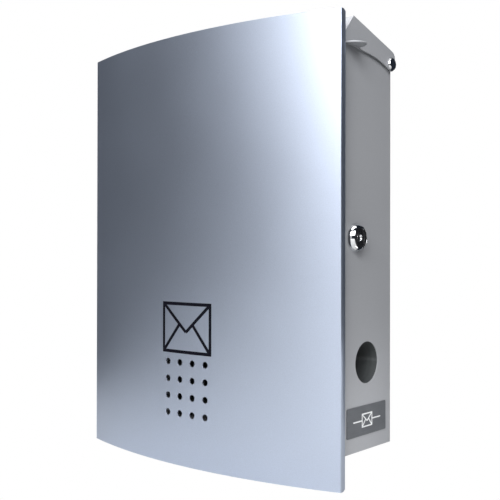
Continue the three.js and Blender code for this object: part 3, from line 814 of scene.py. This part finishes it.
def body_shell():
    """Back, sides and front returns in one folded sheet, with its holes and the ears for the pins."""
    lip = BODY_X - FRONT_RETURN
    path = [
        (-lip, BODY_FRONT_Y),
        (-BODY_X, BODY_FRONT_Y),
        (-BODY_X, BODY_BACK_Y),
        (BODY_X, BODY_BACK_Y),
        (BODY_X, BODY_FRONT_Y),
        (lip, BODY_FRONT_Y),
    ]
    piece = prism(sheet_outline(path, SHEET, BEND), "z", BODY_BOTTOM_Z, BODY_TOP_FRONT_Z)
    end_x = BODY_X + OVERCUT
    above_top = [
        (BODY_FRONT_Y - OVERCUT, BODY_TOP_FRONT_Z),
        (BODY_BACK_Y + OVERCUT, BODY_TOP_BACK_Z),
        (BODY_BACK_Y + OVERCUT, BODY_TOP_FRONT_Z + OVERCUT),
        (BODY_FRONT_Y - OVERCUT, BODY_TOP_FRONT_Z + OVERCUT),
    ]
    cutters = [
        prism(above_top, "x", -end_x, end_x),
        bar("x", TUBE_AXIS, TUBE_BORE, -end_x, end_x, 96),
        bar("x", LOCK_AXIS, LOCK_HOLE, BODY_X - 2 * SHEET, end_x),
        bar("x", LID_AXIS, ROD_HOLE, -end_x, end_x, HOLE_STEPS),
    ]
    through_back = (BODY_BACK_Y - 2 * SHEET, BODY_BACK_Y + OVERCUT)
    for rail, (low, high) in RAILS.items():
        for x in (-SCREW_X, SCREW_X):
            cutters.append(bar("y", (x, (low.z + high.z) / 2), SCREW_ACCESS, *through_back, HOLE_STEPS))
        for side in ("left", "right"):
            rivet = middle(f"rail_rivet_{rail}_{side}")
            cutters.append(bar("y", (rivet.x, rivet.z), RIVET_HOLE, *through_back, RIVET_STEPS))
    cut(piece, cutters)
    ears = [
        door_ear(SHELL_HIGH.z - SHEET, SHELL_HIGH.z, BODY_TOP_FRONT_Z - EAR_ROOT),
        door_ear(SHELL_LOW.z, SHELL_LOW.z + SHEET, BODY_BOTTOM_Z + EAR_ROOT),
    ]
    return finish(level(soften(join(piece, ears))), "body_shell")


def newspaper_tube():
    """A smooth tube from side to side, with rounded ends."""
    inner = TUBE_BORE + CLEARANCE
    left, right = TUBE_LOW.x, TUBE_HIGH.x
    profile = [(inner, left), (TUBE_RADIUS, left), (TUBE_RADIUS, right), (inner, right)]
    return finish(soften(turned(profile, TUBE_AXIS), TUBE_EDGE), "newspaper_tube")


# ---------------------------------------------------------------- lid


def from_pivot(y, z):
    """A place in (y, z) given in millimetres from the lid's hinge rod."""
    return (LID_AXIS[0] + y * MM, LID_AXIS[1] + z * MM)


LID_HEM = from_pivot(-72.7, 12.9)
LID_KNEE = from_pivot(-84.5, 16.2)
LID_RIDGE = from_pivot(-69.2, 34.8)
LID_ROOF_END = from_pivot(-2.2, 15)
LID_BACK = from_pivot(8.1, 5.4)
CHEEK_FRONT_Y = from_pivot(-84.1, 0)[0]
CHEEK_LOW_Z = from_pivot(0, -8)[1]
TAB_TOP_Z = from_pivot(0, 7.3)[1]


def lid_roof():
    """The lid's outline from its knee over the ridge and round the bend at the back."""
    ridge, end, back = LID_RIDGE, LID_ROOF_END, LID_BACK
    slope = math.atan2(ridge[1] - end[1], end[0] - ridge[0])
    bend_y = back[0] - LID_BACK_BEND
    bend_z = end[1] - (bend_y - end[0]) * math.tan(slope) - LID_BACK_BEND / math.cos(slope)
    back_bend = arc((bend_y, bend_z), LID_BACK_BEND, 90 - math.degrees(slope), 0, 12)
    return [LID_KNEE, ridge, *back_bend, back]


def curve(start, control, end, steps=16):
    """A quadratic curve between two points."""
    start, control, end = Vector(start), Vector(control), Vector(end)
    shares = [i / steps for i in range(steps + 1)]
    return [tuple(start * (1 - t) ** 2 + control * 2 * t * (1 - t) + end * t * t) for t in shares]


def finger_tab(side):
    """The half-round lip bent outwards from a cheek's lower edge."""
    root_x = CHEEK_X - SHEET
    reach = LID_HIGH.x - root_x
    centre_y = LID_LOW.y + TAB_HALF
    half_round = arc((0, 0), 1, -90, 90, TAB_STEPS)
    inner, half = reach - TAB_BEAD, TAB_HALF - TAB_BEAD
    rim = [(side * (root_x + u * inner), centre_y + v * half) for u, v in half_round]
    bead_z = TAB_TOP_Z - TAB_BEAD
    return join(prism(rim, "z", bead_z, bead_z + TAB_SHEET), [swept(rim, bead_z, TAB_BEAD)])


def lid_cover():
    """The lid: hem, front, ridge and roof in one sheet, and cheeks that turn a round corner into it."""
    roof = lid_roof()
    hem_z = LID_HEM[1]
    path = [LID_HEM, (LID_KNEE[0], hem_z), *roof]
    piece = prism(sheet_outline(path, SHEET, LID_BEND), "x", -CHEEK_X, CHEEK_X)

    front_y, back_y = CHEEK_FRONT_Y, LID_BACK[0]
    plan = [(CHEEK_X, back_y), (CHEEK_X, front_y), (-CHEEK_X, front_y), (-CHEEK_X, back_y)]
    cheeks = prism(sheet_outline(plan, SHEET, CHEEK_BEND), "z", CHEEK_LOW_Z, LID_HIGH.z)
    side_view = [
        *roof,
        *arc(LID_AXIS, CHEEK_CORNER, 20, -95, 16),
        *curve(from_pivot(-1.2, -6.6), from_pivot(-22.7, 2.3), from_pivot(-42.7, 3.4)),
        (LID_KNEE[0], from_pivot(0, 6.8)[1]),
    ]
    end_x = CHEEK_X + OVERCUT
    combine(cheeks, [prism(side_view, "x", -end_x, end_x)], "INTERSECT")
    inside_x = BODY_X + CHEEK_GAP
    cut(cheeks, [block((-inside_x, front_y - OVERCUT, CHEEK_LOW_Z), (inside_x, back_y, hem_z))])
    join(piece, [cheeks, finger_tab(-1), finger_tab(1)])
    cut(piece, [bar("x", LID_AXIS, ROD_HOLE, -end_x, end_x, HOLE_STEPS)])
    return finish(level(soften(piece, LID_EDGE, 3)), "lid_cover")


def hinge_cap(side, node):
    """A push-on cap with a rolled rim and a dome, on one end of the hinge rod."""
    base, crown = CAP_LOW.x, CAP_HIGH.x
    shoulder = base + CAP_BAND
    dome = [
        (CAP_RADIUS * DOME_SHARE * u, shoulder + (crown - shoulder) * v)
        for u, v in arc((0, 0), 1, 0, 90, 16)
    ]
    profile = [
        (0, ROD_END_X + CLEARANCE),
        (ROD_HOLE, ROD_END_X + CLEARANCE),
        (ROD_HOLE, base),
        *arc((CAP_RADIUS - CAP_RIM, base + CAP_RIM), CAP_RIM, -90, 60, 8),
        *dome,
    ]
    piece = turned([(radius, side * x) for radius, x in profile], LID_AXIS)
    return finish(soften(piece, CAP_EDGE), node)


# ---------------------------------------------------------------- lock


def lock_housing():
    """The conical bezel round its recess, and the threaded barrel behind the wall."""
    base, front = BODY_X + CLEARANCE, LOCK_HIGH.x
    recess = front - RECESS_DEPTH
    thread = [
        (BARREL_RADIUS - depth, LOCK_LOW.x + (i + share) * THREAD_PITCH)
        for i in range(int((base - LOCK_LOW.x) / THREAD_PITCH))
        for share, depth in ((0.05, THREAD_DEPTH), (0.5, 0), (0.95, THREAD_DEPTH))
    ]
    profile = [
        (PLUG_BORE, LOCK_LOW.x),
        *thread,
        (BARREL_RADIUS, base),
        (BEZEL_RADIUS - BEZEL_CHAMFER, base),
        (BEZEL_RADIUS, base + BEZEL_CHAMFER),
        (BEZEL_RADIUS, base + BEZEL_BAND),
        (LIP_RADIUS + LIP_WIDTH, front - LIP_ROUND),
        (LIP_RADIUS + LIP_WIDTH / 2, front),
        (LIP_RADIUS, front - LIP_ROUND),
        (LIP_RADIUS, recess),
        (PLUG_BORE, recess),
    ]
    piece = turned(profile, LOCK_AXIS, steps=LOCK_STEPS)
    return finish(soften(piece, BEZEL_EDGE, angle=50), "lock_housing")


def lock_face():
    """The black disc in the bezel, with round ridges one inside another."""
    back, front = FACE_LOW.x, FACE_HIGH.x - RIDGE_RISE
    outer = radius_of("lock_face")
    ridges = [
        (ridge_radius + RIDGE_HALF * u, front + RIDGE_RISE * v)
        for ridge_radius in (outer - 1.2 * RIDGE_HALF, (outer + PLUG_BORE) / 2)
        for u, v in arc((0, 0), 1, 0, 180, 10)
    ]
    profile = [(PLUG_BORE, back), (outer, back), (outer, front), *ridges, (PLUG_BORE, front)]
    return finish(soften(turned(profile, LOCK_AXIS, steps=LOCK_STEPS), LOCK_EDGE), "lock_face")


def lock_plug():
    """The turning plug, with a round dish in its end and the keyway across it."""
    back, front = PLUG_LOW.x, PLUG_HIGH.x - RING_DEPTH
    dish = [(DISH_RADIUS * u, front - DISH_DEPTH * v) for u, v in arc((0, 0), 1, 0, 90, 14)]
    profile = [(0, back), (PLUG_RADIUS, back), (PLUG_RADIUS, front), *dish[:-1], (0, front - DISH_DEPTH)]
    (y, z), (half_y, half_z) = LOCK_AXIS, KEYWAY_HALF
    low = (front - KEYWAY_DEPTH, y - half_y, z - half_z)
    high = (front + OVERCUT, y + half_y, z + half_z)
    piece = cut(turned(profile, LOCK_AXIS), [block(low, high)])
    return finish(soften(piece, LOCK_EDGE), "lock_plug")


def plug_ring():
    """The black ring round the plug's dish."""
    back, front = PLUG_HIGH.x - RING_DEPTH, PLUG_HIGH.x
    profile = [(RING_INNER, back), (RING_OUTER, back), (RING_OUTER, front), (RING_INNER, front)]
    ring = soften(turned(profile, LOCK_AXIS), RING_EDGE)
    return finish(ring, "lock_plug", "lock_plug_ring", "black")


# ---------------------------------------------------------------- label


def label_plate():
    """The plate low on the right side."""
    low, high = (LABEL_LOW.y, LABEL_LOW.z), (LABEL_HIGH.y, LABEL_HIGH.z)
    piece = prism(rectangle(low, high, LABEL_CORNER, 8), "x", LABEL_LOW.x, LABEL_HIGH.x)
    return finish(level(soften(piece, SMALL_EDGE, 3)), "label_plate")


def label_mark():
    """The envelope on the label with a short rule on each side of it, in thin print."""
    y, z = (MARK_LOW.y + MARK_HIGH.y) / 2, (MARK_LOW.z + MARK_HIGH.z) / 2
    left, right = y - MARK_HALF, y + MARK_HALF
    shapes = [
        *envelope((left, MARK_LOW.z), (right, MARK_HIGH.z), MARK_LINE),
        stroke((MARK_LOW.y, z), (left + MARK_LINE / 2, z), MARK_LINE),
        stroke((right - MARK_LINE / 2, z), (MARK_HIGH.y, z), MARK_LINE),
    ]
    piece = union(shapes, "x", (MARK_LOW.x, MARK_LOW.x + MARK_THICKNESS))
    return finish(soften(piece, PRINT_EDGE, 1), "label_mark")


# ---------------------------------------------------------------- pieces

made_by_hand = [
    front_panel(),
    front_picture(),
    body_shell(),
    newspaper_tube(),
    lid_cover(),
    hinge_cap(1, "hinge_cap_right"),
    hinge_cap(-1, "hinge_cap_left"),
    lock_housing(),
    lock_face(),
    lock_plug(),
    plug_ring(),
    label_plate(),
    label_mark(),
]
replaced = {node for piece in made_by_hand for node in piece["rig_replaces"]}
for node in sorted(set(NODE_SLOTS) - replaced):
    copy = bpy.data.objects.new(node, frame["nodes"][node].data.copy())
    bpy.context.scene.collection.objects.link(copy)
    finish(level(soften(copy, SMALL_EDGE)), node)

# ---------------------------------------------------------------- studio


def make_camera():
    """The camera at the front right of the box, level with its middle."""
    data = bpy.data.cameras.new("camera")
    data.lens = CAMERA_LENS
    data.sensor_width = SENSOR_WIDTH
    data.clip_start = 0.01
    camera = bpy.data.objects.new("camera", data)
    bpy.context.scene.collection.objects.link(camera)
    flat = math.cos(CAMERA_PITCH)
    forward = Vector((-math.sin(CAMERA_YAW) * flat, math.cos(CAMERA_YAW) * flat, math.sin(CAMERA_PITCH)))
    right = Vector((math.cos(CAMERA_YAW), math.sin(CAMERA_YAW), 0))
    upright = Matrix((right, right.cross(forward), -forward)).transposed().to_4x4()
    roll = Matrix.Rotation(CAMERA_ROLL, 4, "Z")
    camera.matrix_world = Matrix.Translation(CAMERA_PLACE) @ upright @ roll
    bpy.context.scene.camera = camera


def softbox(name, azimuth, elevation, distance, size, radiance, target=BOX_CENTRE):
    """A rectangular light that faces a target. Azimuth 0 is straight in front of it, and 90 its right."""
    data = bpy.data.lights.new(name, "AREA")
    data.shape = "RECTANGLE"
    data.size, data.size_y = size
    data.energy = radiance * math.pi * size[0] * size[1]
    lamp = bpy.data.objects.new(name, data)
    bpy.context.scene.collection.objects.link(lamp)
    turn, rise = math.radians(azimuth), math.radians(elevation)
    way = Vector((math.sin(turn) * math.cos(rise), -math.cos(turn) * math.cos(rise), math.sin(rise)))
    lamp.location = target + way * distance
    lamp.rotation_euler = way.to_track_quat("Z", "Y").to_euler()
    lamp.visible_camera = False


def light_path_mix(tree, for_camera, for_light, out):
    """One shader for what the camera sees directly, and another for the light that it sends out."""
    path = tree.nodes.new("ShaderNodeLightPath")
    mix = tree.nodes.new("ShaderNodeMixShader")
    tree.links.new(path.outputs["Is Camera Ray"], mix.inputs["Fac"])
    tree.links.new(for_light.outputs[0], mix.inputs[1])
    tree.links.new(for_camera.outputs[0], mix.inputs[2])
    tree.links.new(mix.outputs[0], out.inputs["Surface"])


def make_world(ambient):
    """A white studio to look at, and a dim even light from it."""
    world = bpy.data.worlds.new("studio")
    world.use_nodes = True
    bpy.context.scene.world = world
    tree = world.node_tree
    tree.nodes.clear()
    out = tree.nodes.new("ShaderNodeOutputWorld")
    seen = tree.nodes.new("ShaderNodeBackground")
    seen.inputs["Color"].default_value = (1, 1, 1, 1)
    lit = tree.nodes.new("ShaderNodeBackground")
    lit.inputs["Color"].default_value = (*ambient, 1)
    light_path_mix(tree, seen, lit, out)


def make_floor():
    """A pale floor, washed out to white where the camera sees it."""
    top_z = PANEL_LOW.z - STAGE_GAP
    floor = prism(rectangle(STAGE_LOW, STAGE_HIGH), "z", top_z - STAGE_THICKNESS, top_z, "floor")
    paint = Recipe("floor_paint", (0.67, 0.67, 0.66), 0.0, 0.8)
    paint.tint(paint.noise(3, 2), 0.97, 1.02)
    tree = paint.tree
    seen = tree.nodes.new("ShaderNodeEmission")
    out = tree.nodes["Material Output"]
    light_path_mix(tree, seen, paint.shader, out)
    floor.data.materials.append(paint.material)


bpy.context.scene.view_settings.view_transform = "Standard"
make_camera()
make_floor()
make_world((0.018, 0.023, 0.032))

# Name, azimuth, elevation, distance, size and radiance of each light.
softbox("key", 22, 30, 1.8, (0.7, 0.7), 9.3)
softbox("right", 47, 33, 1.6, (1.3, 0.9), 4.7)
softbox("low_side", 90, 0, 0.08, (0.08, 0.05), 2.0, middle("label_plate"))
softbox("left", -70, 60, 1.4, (0.9, 0.9), 1.6)
softbox("overhead", 0, 86, 1.3, (1.1, 1.1), 2.8)
softbox("front", 4, 25, 1.8, (1.5, 0.8), 1.25)
softbox("front_low", 16, 2, 1.8, (1.0, 0.8), 0.65)
